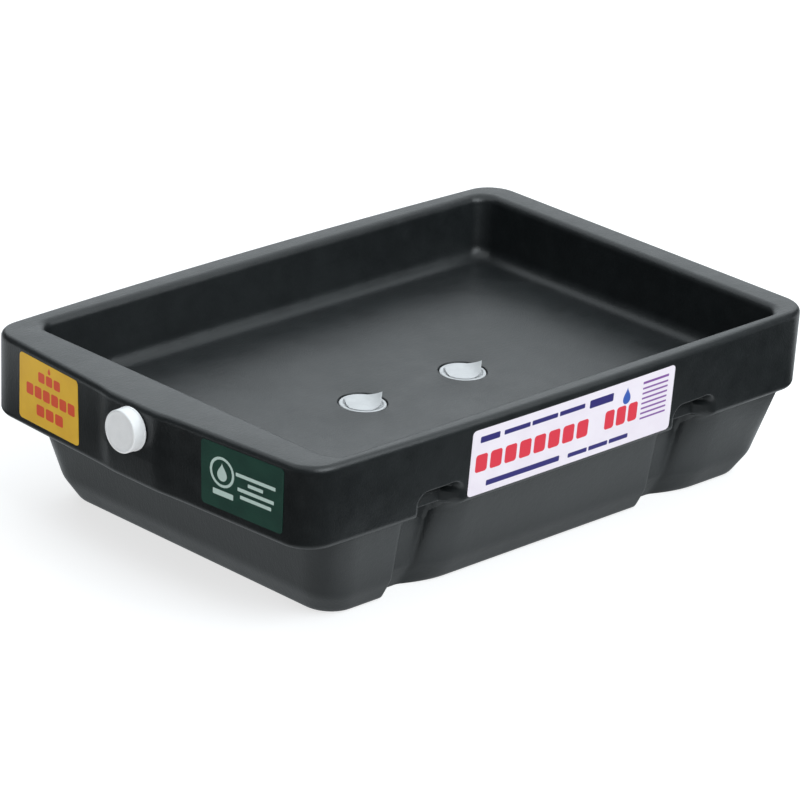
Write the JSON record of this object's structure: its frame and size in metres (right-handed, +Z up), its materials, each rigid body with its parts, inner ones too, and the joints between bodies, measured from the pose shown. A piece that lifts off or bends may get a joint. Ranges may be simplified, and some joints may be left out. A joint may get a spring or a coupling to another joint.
{
  "type": "oil drain pan",
  "caption": "Low rectangular oil drain pan: open catch tray moulded on a closed tapered tank, with lift-tab drain plugs, a screw-capped end spout, grip grooves and plain labels.",
  "frame": {"origin": "centre of the tank's flat underside, on the body's mid-planes", "axes": "+X along the length, away from the spout; +Y across, away from the wide label; +Z up"},
  "size_m": [0.5056, 0.3239, 0.125],
  "materials": {
    "black_hdpe": "satin blow-moulded",
    "white_cap": "satin moulded",
    "white_plug": "soft moulded",
    "white_tab": "soft moulded",
    "liner_foam": "matte foam",
    "yellow_label": "coated",
    "green_label": "coated",
    "white_label": "coated"
  },
  "bodies": {
    "pan": {"pan_body": "black_hdpe", "label_yellow": "yellow_label", "label_green": "green_label", "label_white": "white_label"},
    "cap": {"spout_cap": "white_cap"},
    "seal": {"cap_liner": "liner_foam"},
    "plug_front": {"drain_plug_front": "white_plug"},
    "plug_rear": {"drain_plug_rear": "white_plug"},
    "tab_front": {"pull_tab_front": "white_tab"},
    "tab_rear": {"pull_tab_rear": "white_tab"}
  },
  "joints": [
    {"name": "cap_lift", "type": "slide", "parent": "pan", "child": "seal", "axis": [-1, 0, 0], "range_m": [0, 0.0075]},
    {"name": "cap_turn", "type": "hinge", "parent": "seal", "child": "cap", "pos_m": [-0.253, -0.002, 0.1078], "axis": [-1, 0, 0], "range_deg": [0, 900]},
    {"name": "plug_front_lift", "type": "slide", "parent": "pan", "child": "plug_front", "axis": [0, 0, 1], "range_m": [0, 0.06]},
    {"name": "plug_rear_lift", "type": "slide", "parent": "pan", "child": "plug_rear", "axis": [0, 0, 1], "range_m": [0, 0.06]},
    {"name": "tab_front_flip", "type": "hinge", "parent": "plug_front", "child": "tab_front", "pos_m": [-0.06137, -0.00663, 0.0787], "axis": [-0.515, -0.8572, 0], "range_deg": [0, 100]},
    {"name": "tab_rear_flip", "type": "hinge", "parent": "plug_rear", "child": "tab_rear", "pos_m": [0.03353, -0.00783, 0.0787], "axis": [-0.515, -0.8572, 0], "range_deg": [0, 100]}
  ],
  "couplings": [
    {"joint": "cap_lift", "follows": "cap_turn", "m_per_rad": 0.00047746}
  ]
}
